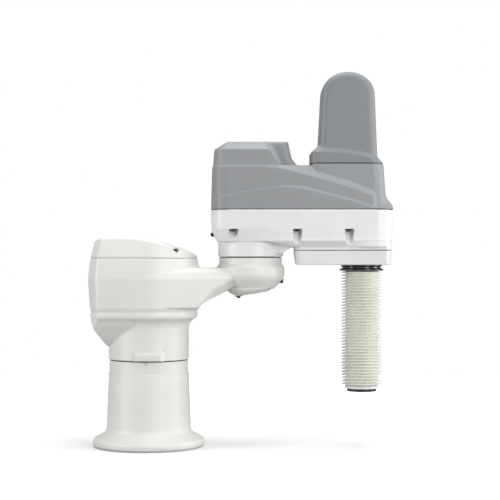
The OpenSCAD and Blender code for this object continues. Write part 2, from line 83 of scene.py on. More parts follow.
def shrunk(points, r):
    """A counter-clockwise outline with every edge moved inwards by r."""
    p = np.array(points, float)
    q = np.roll(p, -1, 0)
    d = (q - p) / np.linalg.norm(q - p, axis=1)[:, None]
    n = np.stack([-d[:, 1], d[:, 0]], 1)
    a = p + n * r
    out = []
    for i in range(len(p)):
        j = i - 1
        cross = d[j, 0] * d[i, 1] - d[j, 1] * d[i, 0]
        if abs(cross) < 1e-6:
            out.append(a[i])
            continue
        w = a[i] - a[j]
        t = (w[0] * d[i, 1] - w[1] * d[i, 0]) / cross
        out.append(a[j] + d[j] * t)
    return np.array(out)


def outline(points, r=0.0):
    """Distance to a closed outline in a plane, its corners rounded to r."""
    p = shrunk(points, r) if r else np.array(points, float)
    q = np.roll(p, -1, 0)

    def distance(u, v):
        u, v = np.broadcast_arrays(u, v)
        best = np.full(u.shape, 1e12)
        inside = np.zeros(u.shape, bool)
        for a, b in zip(p, q):
            e = b - a
            wx, wy = u - a[0], v - a[1]
            t = np.clip((wx * e[0] + wy * e[1]) / (e @ e), 0, 1)
            best = np.minimum(best, (wx - e[0] * t) ** 2 + (wy - e[1] * t) ** 2)
            if abs(e[1]) > 1e-9:
                inside ^= ((a[1] > v) != (b[1] > v)) & (u < e[0] * wy / e[1] + a[0])
        return np.where(inside, -1, 1) * np.sqrt(best) - r

    return distance


def bore(r, z, radius, z0, z1=1e3):
    """An upright round hole from z0 to z1, at a distance r from its axis."""
    return np.maximum(r - radius, np.maximum(z0 - z, z - z1))


def smooth(t):
    """A step from 0 to 1 without corners, for t from 0 to 1."""
    return t * t * (3 - 2 * t)


# ---------------------------------------------------------------- meshes from distance functions

PROBE = 0.35  # half the distance over which a slope is measured


def slope(f, p):
    """The gradient of a distance function at points p."""
    g = np.empty_like(p)
    for a in range(3):
        h = np.zeros(3)
        h[a] = PROBE
        g[:, a] = (f(*(p + h).T) - f(*(p - h).T)) / (2 * PROBE)
    return g


def surface(f, lo, hi, cell):
    """Vertices and outward quads of the surface f = 0 inside a box."""
    lo = np.array(lo, float)
    n = [int(math.ceil((b - a) / cell)) + 1 for a, b in zip(lo, hi)]
    ax = [a + cell * np.arange(k) for a, k in zip(lo, n)]
    v = f(ax[0][:, None, None], ax[1][None, :, None], ax[2][None, None, :])
    v = np.ascontiguousarray(np.broadcast_to(v, n), dtype=np.float32)
    neg = v < 0
    count = np.zeros([k - 1 for k in n], np.uint8)
    for i in (0, 1):
        for j in (0, 1):
            for k in (0, 1):
                count += neg[i : n[0] - 1 + i, j : n[1] - 1 + j, k : n[2] - 1 + k]
    at = np.array(np.nonzero((count > 0) & (count < 8)))
    number = np.full(count.shape, -1, np.int64)
    number[tuple(at)] = np.arange(at.shape[1])
    total, hits = np.zeros((at.shape[1], 3)), np.zeros(at.shape[1])
    for a in range(3):
        for i in (0, 1):
            for j in (0, 1):
                step = np.zeros(3, int)
                step[(a + 1) % 3], step[(a + 2) % 3] = i, j
                p = at + step[:, None]
                q = p.copy()
                q[a] += 1
                v0, v1 = v[tuple(p)], v[tuple(q)]
                cut = (v0 < 0) != (v1 < 0)
                place = p.T[cut].astype(float)
                place[:, a] += v0[cut] / (v0[cut] - v1[cut])
                total[cut] += place
                hits[cut] += 1
    points = lo + cell * total / hits[:, None]
    quads = []
    for a in range(3):
        b, c = (a + 1) % 3, (a + 2) % 3
        order = (a, b, c)
        t = np.transpose(neg, order)
        s0, s1 = t[:-1, 1:-1, 1:-1], t[1:, 1:-1, 1:-1]
        for sign in (True, False):
            i, j, k = np.nonzero((s0 != s1) & (s0 == sign))
            cells = np.transpose(number, order)
            ring = [cells[i, j, k], cells[i, j + 1, k], cells[i, j + 1, k + 1], cells[i, j, k + 1]]
            quads.append(np.stack(ring if sign else ring[::-1], 1))
    for _ in range(4):
        g = slope(f, points)
        move = -(f(*points.T) / np.maximum((g * g).sum(1), 0.1))[:, None] * g
        far = np.linalg.norm(move, axis=1)
        points += move * np.minimum(1, 0.6 * cell / np.maximum(far, 1e-9))[:, None]
    return points, np.concatenate(quads)


def piece(name, points, faces, material, body, nodes=(), normals=None):
    """One visible piece: its mesh in metres, riding on a body and standing for CAD nodes."""
    mesh = bpy.data.meshes.new(name)
    mesh.from_pydata((np.asarray(points) * MM).tolist(), [], [list(map(int, q)) for q in faces])
    mesh.validate()
    mesh.shade_smooth()
    if normals is not None:
        mesh.normals_split_custom_set_from_vertices(normals.tolist())
    mesh.materials.append(material)
    obj = bpy.data.objects.new(name, mesh)
    bpy.context.scene.collection.objects.link(obj)
    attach(obj, body)
    if nodes:
        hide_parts(*nodes)
    return obj


def solid(name, f, box, cell, material, body, nodes):
    """A piece meshed from its distance function."""
    points, quads = surface(f, *box, cell)
    g = slope(f, points)
    g /= np.maximum(np.linalg.norm(g, axis=1), 1e-6)[:, None]
    return piece(name, points, quads, material, body, nodes, g)


def lathe(profile, steps=96, x=0.0, six=()):
    """A closed (r, z) profile turned about a vertical axis at x. Rings listed in six are hexagons."""
    a = np.arange(steps) * 2 * math.pi / steps
    flat = np.cos((a + math.pi / 6) % (math.pi / 3) - math.pi / 6)
    points, n = [], len(profile)
    for i, (r, z) in enumerate(profile):
        radius = r / flat if i in six else np.full(steps, r)
        points.append(np.stack([x + radius * np.cos(a), radius * np.sin(a), np.full(steps, z)], 1))
    faces = []
    for i in range(n):
        j = (i + 1) % n
        for k in range(steps):
            m = (k + 1) % steps
            faces.append([i * steps + k, i * steps + m, j * steps + m, j * steps + k])
    return np.concatenate(points), faces


def soft_corners(profile, r, steps=3):
    """A closed profile with every corner rounded to about r, as more points."""
    p = np.array(profile, float)
    out = []
    for i in range(len(p)):
        a, b, c = p[i - 1], p[i], p[(i + 1) % len(p)]
        la, lc = np.linalg.norm(a - b), np.linalg.norm(c - b)
        cut = min(r, 0.45 * la, 0.45 * lc)
        s, e = b + (a - b) / la * cut, b + (c - b) / lc * cut
        for t in np.linspace(0, 1, steps + 1):
            out.append(((1 - t) ** 2 * s + 2 * t * (1 - t) * b + t * t * e).tolist())
    return out


def turned(name, profile, material, body, nodes, steps=96, x=QUILL_X, r=0.6):
    """A lathed piece with softened corners."""
    points, faces = lathe(soft_corners(profile, r), steps, x)
    return piece(name, points, faces, material, body, nodes)


def rays(f, centre, inset, count=200):
    """The outline f = -inset in a plane, walked round a centre."""
    a = np.arange(count) * 2 * math.pi / count
    near, far = np.zeros(count), np.full(count, 400.0)
    for _ in range(30):
        mid = (near + far) / 2
        out = f(centre[0] + mid * np.cos(a), centre[1] + mid * np.sin(a)) > -inset
        near, far = np.where(out, near, mid), np.where(out, mid, far)
    return np.stack([centre[0] + near * np.cos(a), centre[1] + near * np.sin(a)], 1)


def gasket(name, f, centre, inset, width, z0, z1, body, node):
    """A flat ring that follows a plan outline."""
    rings = []
    for d, z in ((inset, z0), (inset, z1), (inset + width, z1), (inset + width, z0)):
        plan = rays(f, centre, d)
        rings.append(np.column_stack([plan, np.full(len(plan), z)]))
    n = len(rings[0])
    faces = [
        [i * n + k, i * n + (k + 1) % n, (i + 1) % 4 * n + (k + 1) % n, (i + 1) % 4 * n + k]
        for i in range(4)
        for k in range(n)
    ]
    obj = piece(name, np.concatenate(rings), faces, RUBBER, body, (node,))
    obj.data.shade_flat()
    return obj


# ---------------------------------------------------------------- materials


def finish(name, colour, rough, metal=0.0, grain=700.0, depth=0.03, mottle=0.03, worn=0.08, coat=0.0):
    """A procedural surface: fine grain as relief, broad mottling in colour and roughness."""
    m = bpy.data.materials.new(name)
    m.use_nodes = True
    tree = m.node_tree
    shader = tree.nodes["Principled BSDF"]
    shader.inputs["Metallic"].default_value = metal
    shader.inputs["Coat Weight"].default_value = coat
    shader.inputs["Coat Roughness"].default_value = 0.25
    place = tree.nodes.new("ShaderNodeTexCoord")

    def noise(scale, detail):
        n = tree.nodes.new("ShaderNodeTexNoise")
        n.inputs["Scale"].default_value = scale
        n.inputs["Detail"].default_value = detail
        tree.links.new(place.outputs["Object"], n.inputs["Vector"])
        return n.outputs["Fac"]

    def spread(value, low, high):
        r = tree.nodes.new("ShaderNodeMapRange")
        r.inputs["From Min"].default_value, r.inputs["From Max"].default_value = 0.3, 0.7
        r.inputs["To Min"].default_value, r.inputs["To Max"].default_value = low, high
        tree.links.new(value, r.inputs["Value"])
        return r.outputs["Result"]

    broad, fine = noise(14.0, 4.0), noise(grain, 3.0)
    ramp = tree.nodes.new("ShaderNodeValToRGB")
    ramp.color_ramp.elements[0].position, ramp.color_ramp.elements[1].position = 0.3, 0.7
    ramp.color_ramp.elements[0].color = [c * (1 - mottle) for c in colour] + [1]
    ramp.color_ramp.elements[1].color = [min(1, c * (1 + mottle)) for c in colour] + [1]
    tree.links.new(broad, ramp.inputs["Fac"])
    tree.links.new(ramp.outputs["Color"], shader.inputs["Base Color"])
    tree.links.new(spread(broad, rough - worn / 2, rough + worn / 2), shader.inputs["Roughness"])
    bump = tree.nodes.new("ShaderNodeBump")
    bump.inputs["Strength"].default_value = depth
    bump.inputs["Distance"].default_value = 0.0006
    tree.links.new(fine, bump.inputs["Height"])
    tree.links.new(bump.outputs["Normal"], shader.inputs["Normal"])
    return m


PEDESTAL_WHITE = finish("pedestal_white", (0.70, 0.698, 0.675), 0.42, grain=520, depth=0.10)
ARM_WHITE = finish("arm_white", (0.70, 0.698, 0.675), 0.40, grain=520, depth=0.09)
FOREARM_WHITE = finish("forearm_white", (0.735, 0.74, 0.748), 0.38, grain=560, depth=0.08)
COVER_GREY = finish("cover_grey", (0.262, 0.271, 0.280), 0.48, grain=800, depth=0.12, mottle=0.02)
IVORY = finish("bellows_ivory", (0.73, 0.728, 0.675), 0.62, grain=1500, depth=0.08, mottle=0.03)
CLAMP_BLACK = finish("clamp_black", (0.022, 0.022, 0.024), 0.2, grain=1200, depth=0.05, coat=0.4)
# The tower's grey is a darker copy of the cover's grey plastic: painted shade on the tower
SHADED_TOWER_GREY = finish("tower_grey_painted_shade", (0.212, 0.222, 0.232), 0.48, grain=800, depth=0.12, mottle=0.02)
RUBBER = finish("black_rubber", (0.018, 0.018, 0.02), 0.6, grain=1200, depth=0.15)
SCREW_BLACK = finish("screw_black", (0.03, 0.03, 0.033), 0.34, metal=0.6, grain=1800, depth=0.1)
STEEL = finish("ground_steel", (0.46, 0.47, 0.49), 0.28, metal=1.0, grain=1500, depth=0.06)
CAST = finish("cast_aluminium", (0.55, 0.56, 0.58), 0.45, metal=0.9, grain=600, depth=0.15)
FLANGE_BLACK = finish("flange_black", (0.022, 0.022, 0.025), 0.36, metal=0.4, grain=1400, depth=0.08)
MOTOR_BLACK = finish("motor_black", (0.03, 0.03, 0.032), 0.5, grain=900, depth=0.12)
PLASTIC = finish("black_plastic", (0.025, 0.025, 0.027), 0.45, grain=1000, depth=0.12)
BRASS = finish("brass", (0.52, 0.38, 0.14), 0.3, metal=1.0, grain=1500, depth=0.06)
BOARD = finish("circuit_board", (0.02, 0.12, 0.05), 0.42, grain=300, depth=0.2, mottle=0.15)

CAD_LOOKS = {
    "painted_pedestal": PEDESTAL_WHITE,
    "painted_arm": ARM_WHITE,
    "painted_forearm": FOREARM_WHITE,
    "grey_cover": COVER_GREY,
    "bellows_fabric": IVORY,
    "black_rubber": RUBBER,
    "black_screw": SCREW_BLACK,
    "machined_steel": STEEL,
    "cast_aluminium": CAST,
    "black_tool_flange": FLANGE_BLACK,
    "motor_black": MOTOR_BLACK,
    "black_plastic": PLASTIC,
    "brass": BRASS,
    "circuit_board": BOARD,
}
for part in frame["record"]["subparts"]:
    obj = frame["nodes"][part["node"]]
    obj.data.materials.clear()
    obj.data.materials.append(CAD_LOOKS[part["material_slot"]])

# ---------------------------------------------------------------- pedestal

PEDESTAL = outline(
    [
        (78, 0), (116, 0), (120, 4.5), (120, 12.5), (117, 18), (110, 22), (100, 27.5), (95, 31),
        (92.4, 35), (90.9, 41), (88.9, 98), (86.8, 157.5), (84.4, 159.5), (84.4, 186),
        (80.3, 186), (80.3, 156), (22, 156), (22, 140), (58, 140), (58, 42), (78, 42),
    ],
    0.9,
)
BASE_BOLTS = 6
BOLT_CIRCLE_R = 105.0
BOLT_HOLE_R = 4.25
BOLT_HOLE_DEPTH = 13.0


def pedestal(x, y, z):
    """The pedestal with its bolt holes, blind from below, and the zero mark under its rim."""
    d = PEDESTAL(np.hypot(x, y), z)
    for k in range(BASE_BOLTS):
        a = math.radians(30 + 360 / BASE_BOLTS * k)
        r = np.hypot(x - BOLT_CIRCLE_R * math.cos(a), y - BOLT_CIRCLE_R * math.sin(a))
        d = smax(d, -smax(r - BOLT_HOLE_R, z - BOLT_HOLE_DEPTH, 0.3), 0.6)
    notch = np.maximum(rect(x, z, -2.8, 0.4, 178.5, 190, 1.2), y + 82.5)
    return np.maximum(d, -notch)


solid("pedestal_casting", pedestal, ((-124, -124, -4), (124, 124, 190)), 2.2,
      PEDESTAL_WHITE, "base", ("base_pedestal",))

# ---------------------------------------------------------------- upper arm

HUMP_R = 110.5
BEAM_TIP_R = 48.3
BEAM_LEAN = (HUMP_R - BEAM_TIP_R) / J2_X
BEAM_TOP = 384.5
COLUMN_R = 86.3
COLUMN_Z = 188.0
HUMP_Z = 277.0
ARM_WALL = 6.0
# The hump lies on this side of X, the elbow on the other
HUMP_END_X = 140.0
RIM_Z = 405.0
LID_Z = RIM_Z + 0.35
LID_SCREWS = ((-110, 45), (62, 76))
LID_SCREW_Z = 421.0
# The index tab on the column
TAB_X = 5.0
TAB_Y = -91.0


def hump_plan(x, y):
    """The hump from above: a round front, flat sides and a bowed rear."""
    side = np.where(x > 0, np.hypot(x, y), np.abs(y)) - HUMP_R
    return smax(side, np.hypot(x - 113.7, y) - 244, 9)


def hump_inset(z):
    """How far the hump's wall lies inside its widest outline at a height."""
    return np.interp(z, [276, 285, 292.5, 299.5, 362, RIM_Z, 444, 460],
                     [6.6, 5.8, 6.9, 3.7, 0, 5.0, 15.4, 20])


ELBOW_FLANK = [(51 + 22 * math.cos(math.radians(a)), 372.2 + 22 * math.sin(math.radians(a)))
               for a in range(-41, 1, 6)]
ELBOW = outline([(-20, 339), (50, 339), (59, 348)] + ELBOW_FLANK + [
    (73, 386), (68.3, 392.5), (67.7, 396), (67.7, 406.5), (-20, 406.5)], 1.2)


def hopper(x, y, z):
    """The slanted belly that carries the hump's rear on the column."""
    rear = (-63 * (x + 86) - 39 * (z - 213)) / 74.1
    width = np.interp(z, [205, 213, 220, 230, 240, 248, 255, 262, 271, 279, 290],
                      [-30, 0, 36, 53, 65, 73, 80, 87, 94, 102, 106])
    d = smax(smax(rear, (np.abs(y) - width) * 0.74, 6), z - 286, 2)
    return smax(smax(d, x + 22, 14), hump_plan(x, y) + hump_inset(z), 2)


def beam(x, y, z):
    """The beam from the hump to the elbow, its sides tangent to the hump's round front."""
    wall = (x * BEAM_LEAN + np.abs(y) * math.sqrt(1 - BEAM_LEAN**2)) - HUMP_R
    side = wall + np.interp(z, [299, 362, 374.5, BEAM_TOP], [3.7, 0, 1.4, 9])
    under = np.interp(x, [107.5, 120, 132, 143, 160.6, 185], [299.5, 310, 317.5, 322.6, 330.7, 345])
    facet = (under + 18 * np.clip((x - 100) / 40, 0, 1) + 0.9 * wall - z) * 0.74
    d = smax(smax(side, z - BEAM_TOP, 2), smax((under - z) * 0.85, facet, 3), 2)
    return np.maximum(d, np.maximum(x - J2_X, HUMP_R * BEAM_LEAN - x))


def index_tab(x, y, z):
    """The small tab on the front of the column, its top and sides bevelled."""
    back = y - TAB_Y
    d = smax(-back, 0.72 * (z - 201.4 - 0.93 * back), 1.2)
    d = smax(d, (np.abs(x - TAB_X) - 27 - 0.8 * back) * 0.8, 1.2)
    return np.maximum(d, np.maximum(back - 12, COLUMN_Z - z))


def arm_outside(x, y, z):
    """The upper arm's casting, not yet hollow."""
    hump = smax(hump_plan(x, y) + hump_inset(z), HUMP_Z - z, 5)
    column = np.maximum(np.hypot(x, y) - COLUMN_R, z - 330)
    body = smin(column, hump, 22)
    body = smin(body, hopper(x, y, z), 3)
    body = smin(body, beam(x, y, z), np.interp(x, [60, 80, 104], [0.01, 2, 8]))
    body = smin(body, ELBOW(np.hypot(x - J2_X, y), z), 2.5)
    return np.minimum(body, index_tab(x, y, z))


def lid_screw_range(x, y):
    """Distance in plan to the nearest lid screw's axis."""
    rear, front = [np.hypot(x - sx, np.abs(y) - sy) for sx, sy in LID_SCREWS]
    return np.minimum(rear, front)


def upper_arm(x, y, z):
    """The casting with its rim, the rooms for the two drives and the duct between them."""
    d = arm_outside(x, y, z)
    rim = hump_plan(x, y) + hump_inset(z) + np.clip((z - 399) / 6, 0, 1)
    d = np.where((z > 396) & (x < HUMP_END_X), smax(d, rim, 1), d)
    d = smax(d, np.where(x < HUMP_END_X, z - RIM_Z, z - 500), 0.8)
    d = np.maximum(d, COLUMN_Z - z)
    room = smax(hump_plan(x, y) + hump_inset(z) + ARM_WALL, 284 - z, 6)
    room = np.maximum(room, 12 - lid_screw_range(x, y))
    r1, r2 = np.hypot(x, y), np.hypot(x - J2_X, y)
    duct = np.maximum(rect(y, z, -34, 34, 338, 376, 4), np.maximum(80 - x, x - 186))
    holes = [duct, bore(r1, z, 78, 196, 290), bore(r1, z, 48, 180, 200),
             bore(r2, z, 20, 330, 410), bore(r2, z, 50, 347, 410), bore(r2, z, 58, 385, 415)]
    for hole in holes:
        room = np.minimum(room, hole)
    return smax(d, -room, 0.8)


solid("upper_arm_casting_skin", upper_arm, ((-136, -116, 184), (300, 116, 410)), 2.4,
      ARM_WHITE, "upper_arm", ("upper_arm_casting",))


def lid_top(x, z, inset=0.0):
    """Height above the lid's crown, which falls away to the front and the rear."""
    top = np.interp(x, [-135, -114.9, -95, -62, -35, -6, 30, 59, 85, 100, 112],
                    [438, 444, 448, 449.8, 449, 446, 438.6, 430, 420.5, 414.4, 409])
    return (z - top + inset) * 0.96


def lid(x, y, z):
    """The lid with the wells of its four screws."""
    plan = hump_plan(x, y) + hump_inset(z)
    d = smax(plan + np.clip((410 - z) / 4, 0, 1), lid_top(x, z), 5)
    d = smax(d, LID_Z - z, 0.6)
    room = smax(plan + ARM_WALL, lid_top(x, z, ARM_WALL), 4)
    axis = lid_screw_range(x, y)
    room = np.maximum(room, 9 - axis)
    d = smax(d, -room, 0.8)
    d = smax(d, -smax(axis - 7.6, LID_SCREW_Z - z, 1), 1)
    return np.maximum(d, 2.8 - axis)


solid("upper_arm_lid_skin", lid, ((-136, -116, 402), (116, 116, 456)), 2.1,
      ARM_WHITE, "upper_arm", ("upper_arm_lid",))
gasket("lid_gasket_ring", hump_plan, (-10, 0), 8.4, 3.5, RIM_Z, LID_Z, "upper_arm", "lid_gasket")

DISH_TOP = 348.0
DISH = outline([(159.6, 330.5), (176.6, 323.5), (189, 322.6), (207, 326), (257, 334), (270, 339.5),
                (279, DISH_TOP), (159.6, DISH_TOP)])


def elbow_dish(x, y, z):
    """The cover under the elbow: a bowl whose underside slants, hollow over the bearing."""
    r = np.hypot(x - J2_X, y)
    bowl = r - np.interp(z, [318, 326, 334, 342, DISH_TOP], [30, 42, 51, 57, 60])
    d = np.maximum(smax(DISH(x, z), 0.85 * bowl, 12), z - DISH_TOP - 0.4)
    d = np.maximum(d, 0.1 - ELBOW(r, z))
    return smax(d, -smax(r - 24, 331 - z, 1), 0.8)


solid("elbow_dish_cover", elbow_dish, ((154, -64, 318), (284, 64, 350)), 1.5,
      ARM_WHITE, "upper_arm", ("elbow_cover", "elbow_cover_gasket"))

# ---------------------------------------------------------------- forearm casting

HALF_W = 82.0
REAR_X = 133.0
FRONT_X = 527.6
CORNER_R = 42.0
# Heights, from the top: joint with the grey cover, seats of its screws, floor, underside of the
# tray, seam over the cap, underside of the cap
COVER_Z = 508.0
SEAT_Z = 467.0
FLOOR_Z = 447.0
TRAY_Z = 441.0
PAN_Z = 422.5
CAP_TOP = 421.5
CAP_Z = 391.0
DRAFT = 0.035


def tray_plan(x, y):
    """The forearm from above: a long rectangle with round corners and slightly convex ends."""
    sides = rect(x, y, REAR_X, FRONT_X, -HALF_W, HALF_W, CORNER_R)
    return smax(sides, np.hypot(x - 330.3, y) - 200.5, 10)


def pan_shape(x, z):
    """How far the pan's wall lies inside the tray's: more towards the rear and the bottom."""
    along = smooth(np.clip((474 - x) / 74, 0, 1))
    return 15 * along * np.clip((TRAY_Z - z) / 12, 0, 1)


def pan_end(x, y):
    """The pan's rear end from above."""
    return rect(x, y, 313.6, 640, -70, 70, 34)


POCKET_X = (184.0, 319.0, 428.5)
POCKET_Y = 73.0


def screw_range(x, y):
    """Distance in plan to the nearest cover screw's axis."""
    near = np.full(np.broadcast(x, y).shape, 1e3)
    for xc in POCKET_X:
        near = np.minimum(near, np.hypot(x - xc, np.abs(y) - POCKET_Y))
    return near


def pocket(x, y, z):
    """Grooves for the cover screws, open to the side, narrower and shallower below the seats."""
    r = 10 - 3 * np.clip((SEAT_Z - z) / 35, 0, 1)
    d = np.full(np.broadcast(x, y).shape, 1e3)
    centre = np.interp(z, [443, 460], [79, POCKET_Y])
    for xc in POCKET_X:
        d = np.minimum(d, np.hypot(x - xc, np.maximum(centre - np.abs(y), 0)))
    return smax(d - r, z - SEAT_Z, 0.8)


NECK = outline([(-20, 408.5), (68.8, 408.5), (70, 410), (70, 450), (-20, 450)], 0.8)
GUSSET = outline([(J2_X, 414), (286, 414), (297, 423), (312, 430), (312, 446), (J2_X, 446)])


def rear_inset(x, z):
    """How far the tray's wall is drawn in towards its rear end and its underside."""
    return np.clip((300 - x) / 140, 0, 1) * 12 * np.clip((SEAT_Z - z) / 24, 0, 1)


def forearm_outside(x, y, z):
    """Tray, sloping underside, pan, neck over the elbow and the web behind the neck."""
    plan = tray_plan(x, y)
    draft = DRAFT * (COVER_Z - z)
    rear = rear_inset(x, z)
    band = smax(plan + draft + rear, TRAY_Z - z, 2.5)
    under = np.maximum(429, TRAY_Z - 0.218 * (x - 258))
    taper = smax(plan + draft + rear + pan_shape(x, z), (under - z) * 0.97, 2)
    taper = np.maximum(taper, np.maximum(z - 446, 236 - x))
    pan = smax(smax(plan + draft + pan_shape(x, z), pan_end(x, y), 2), PAN_Z - z, 0.8)
    pan = np.maximum(pan, z - 436)
    neck = NECK(np.hypot(x - J2_X, y), z)
    web = smax(GUSSET(x, z), np.abs(y) - 48, 4)
    d = smin(smin(band, taper, 1.5), pan, 1.5)
    d = smin(smin(d, neck, 3), web, 3)
    return np.maximum(d, z - COVER_Z)


def forearm(x, y, z):
    """The forearm's casting with its room, the bores of its axes and the screw pockets."""
    plan = tray_plan(x, y)
    room = smax(plan + 10 + rear_inset(x, z), FLOOR_Z - z, 4)
    room = np.maximum(room, 16 - screw_range(x, y))
    low = np.maximum(smax(plan + 24, pan_end(x, y) + 8, 4), z - TRAY_Z)
    elbow = np.hypot(x - J2_X, y)
    holes = [low, bore(np.hypot(x - QUILL_X, y), z, 34, 400), bore(np.hypot(x - 340, y), z, 14, 400),
             bore(elbow, z, 46, 416.5), elbow - 24]
    for hole in holes:
        room = np.minimum(room, hole)
    d = smax(forearm_outside(x, y, z), -room, 0.8)
    return smax(d, -pocket(x, y, z), 0.8)


solid("forearm_casting_skin", forearm, ((128, -88, 404), (533, 88, 512)), 2.0,
      FOREARM_WHITE, "forearm", ("forearm_casting",))


def bottom_cap(x, y, z):
    """The cap under the pan, with the seat of the bellows clamp."""
    plan = tray_plan(x, y) + DRAFT * (COVER_Z - z) + pan_shape(x, 420)
    ends = pan_end(x, y) + 0.15 * (422 - z)
    d = smax(smax(plan + 1 + 0.06 * (422 - z), ends, 3), CAP_Z - z, 3)
    d = smax(d, z - CAP_TOP, 0.8)
    quill = np.hypot(x - QUILL_X, y)
    room = smax(smax(plan + 7, ends + 6, 3), CAP_Z + 6 - z, 3)
    room = np.maximum(room, 37 - quill)
    for hole in (bore(quill, z, 22, 399), bore(quill, z, 30.1, 402), quill - 14.5):
        room = np.minimum(room, hole)
    return smax(d, -room, 0.8)


solid("quill_bottom_cap_skin", bottom_cap, ((308, -86, 387), (526, 86, 432)), 1.9,
      FOREARM_WHITE, "forearm", ("quill_bottom_cap",))


def pan_plan(x, y):
    """The pan's seam from above."""
    return smax(tray_plan(x, y) + 3 + pan_shape(x, 420), pan_end(x, y), 3)


gasket("bottom_cap_gasket_ring", pan_plan, (420, 0), 2.2, 3, CAP_TOP, PAN_Z, "forearm",
       "bottom_cap_gasket")

# ---------------------------------------------------------------- grey cover

GREY_WALL = 5.0
GREY_GASKET = 1.4
ROOF_Z = 603.0
HUMP_TOP = 654.6
TOWER_Z = 606.0
TURRET_X0 = 350.0
TURRET_X1 = 504.0


def ledge_z(x):
    """Height of the lower ledge along the side."""
    along = [REAR_X, 150, 170, 198, 226, 254, 274, 293, 310, 338, 366, 395, 423, 451, 468, 480]
    height = [530, 534, 538, 543.6, 549.3, 553.5, 555.4, 555.6, 554.5, 550.5, 543.5, 536,
              528.5, 521, 514.5, 511.5]
    return np.interp(x, along, height)


def shoulder_z(x):
    """Height of the upper edge of the side face."""
    return np.interp(x, [REAR_X, 250, 271, 296, 338, 380, 423, 451, 470, 500],
                     [600, 599, 597.1, 592.9, 581.6, 570.4, 558, 548, 540, 528])


def turret_plan(x, y, z):
    """The cover's raised front under the tower, wider towards its foot."""
    down = TOWER_Z - z
    sides = smax(TURRET_X0 - 0.02 * down - x, np.abs(y) - 64 - 0.05 * down, 13)
    return smax(sides, x - TURRET_X1 - 0.066 * down, 26)


HUMP_BACK = outline([(100, 560), (330, 560), (330, ROOF_Z), (318, 606), (308, 619), (301, 651),
                     (299.5, 690), (100, 690)])


def motor_hump(x, y, z):
    """The hump over the elbow's motor: a wide bevelled block and a narrow spine to its front."""
    lean = 0.08 * (z - 600)
    wall = rect(x, y, 139.4, 400, -69.5, 69.5, 34) + lean
    wall = smax(wall, (wall + 1.5 * (z - 637)) / 1.84, 1.5)
    cut = (x - 284 + 0.41 * (z - 602)) * 0.92
    rim = 0.7 * (wall + cut) + np.interp(z, [600, 640], [0, 7])
    front = smax(smax(wall, cut, 1.5), rim, 1.5)
    back = smax(smax(np.abs(y) - 46 + lean, HUMP_BACK(x, z), 14), wall + 0.5, 4)
    walls = smin(front, back, np.interp(x, [200, 240], [0.01, 6]))
    return np.maximum(smax(walls, z - HUMP_TOP, 3), ROOF_Z - 6 - z)


BIB = outline([(470, 500), (FRONT_X, 500), (527.4, 512), (518.6, 524), (508.7, 535), (470, 545)])


def cover_outside(x, y, z, inside=False):
    """The cover's skin; its inside has no ledge, so that the wall is never thinner there."""
    up = z - COVER_Z
    low = tray_plan(x, y) + 0.03 * up
    band = 2.0 + 4.0 * np.clip((x - 270) / 60, 0, 1)
    rise = 1.0 if inside else np.clip((z - ledge_z(x)) / band, 0, 1)
    fade = smooth(np.clip((x - 138) / 40, 0, 1))
    step = (3.4 * rise + 0.02 * np.maximum(z - ledge_z(x), 0)) * fade
    flank = tray_plan(x, y) + 0.034 * up + step
    flank = smax(flank, (flank + 0.72 * (z - shoulder_z(x))) * 0.81, 1)
    flank = smax(flank, z - ROOF_Z, 3)
    flank = smax(flank, x - 487, 10)
    sunk = 1.6 * np.clip((496 - x) / 20, 0, 1)
    skirt = smax(smax(low + sunk, (z - 512) * 0.8, 1), 460 - x, 1)
    d = smin(flank, skirt, 0.6)
    d = smin(d, smax(turret_plan(x, y, z), z - TOWER_Z, 1.2), 1.2)
    bib = smax(smax(BIB(x, z), np.abs(y) - 58, 16), low, 3)
    d = smin(d, bib, 5)
    return smin(d, motor_hump(x, y, z), 1.5)


def cover(x, y, z):
    """The hollow cover, with posts for its screws and the opening under the tower."""
    d = cover_outside(x, y, z)
    room = cover_outside(x, y, z, True) + GREY_WALL
    room = np.maximum(room, np.minimum(8 - screw_range(x, y), 526 - z))
    mouth = np.maximum(turret_plan(x, y, z) + 5, 585 - z)
    room = np.minimum(room, mouth)
    d = smax(d, -room, 0.6)
    return smax(d, COVER_Z + GREY_GASKET - z, 0.8)


solid("forearm_cover_skin", cover, ((128, -88, 504), (533, 88, 668)), 2.1,
      COVER_GREY, "forearm", ("forearm_cover",))
gasket("cover_gasket_ring", tray_plan, (330, 0), 1.8, 4, COVER_Z, COVER_Z + GREY_GASKET, "forearm",
       "cover_gasket")

# ---------------------------------------------------------------- tower

ARCH_R = 57.0
ARCH_Z = 756.0
ARCH_RISE = 48.5
ARCH = [(TOWER_X - 63, 600), (TOWER_X + 63.5, 600), (TOWER_X + 62, 626), (TOWER_X + ARCH_R, ARCH_Z)]
ARCH += [
    (TOWER_X + ARCH_R * math.cos(math.radians(a)), ARCH_Z + ARCH_RISE * math.sin(math.radians(a)))
    for a in range(8, 176, 8)
]
ARCH += [(TOWER_X - ARCH_R, ARCH_Z), (TOWER_X - 63, 641)]
ARCH_SIDE = outline(ARCH)


def collar_outline(x, y, rear, front):
    """The tower's collar from above, between a rear and a front end."""
    return smax(smax(rear - x, np.abs(y) - 62, 13), x - front, 25)


def tower_outside(x, y, z):
    """The arched tower on its collar, whose brim falls to the front."""
    half = 51 - 0.02 * (z - 640)
    body = smax(ARCH_SIDE(x, z), np.abs(y) - half, 15)
    brim = np.interp(x, [349, 385, 421, 459, 480, 501], [631, 631, 628.6, 623, 616.5, 609])
    plan = collar_outline(x, y, 349, 503 - 0.06 * (z - TOWER_Z))
    collar = (plan + 1.15 * np.maximum(z - brim, 0)) * 0.8
    return np.maximum(smin(body, collar, 2), TOWER_Z + GREY_GASKET - z)


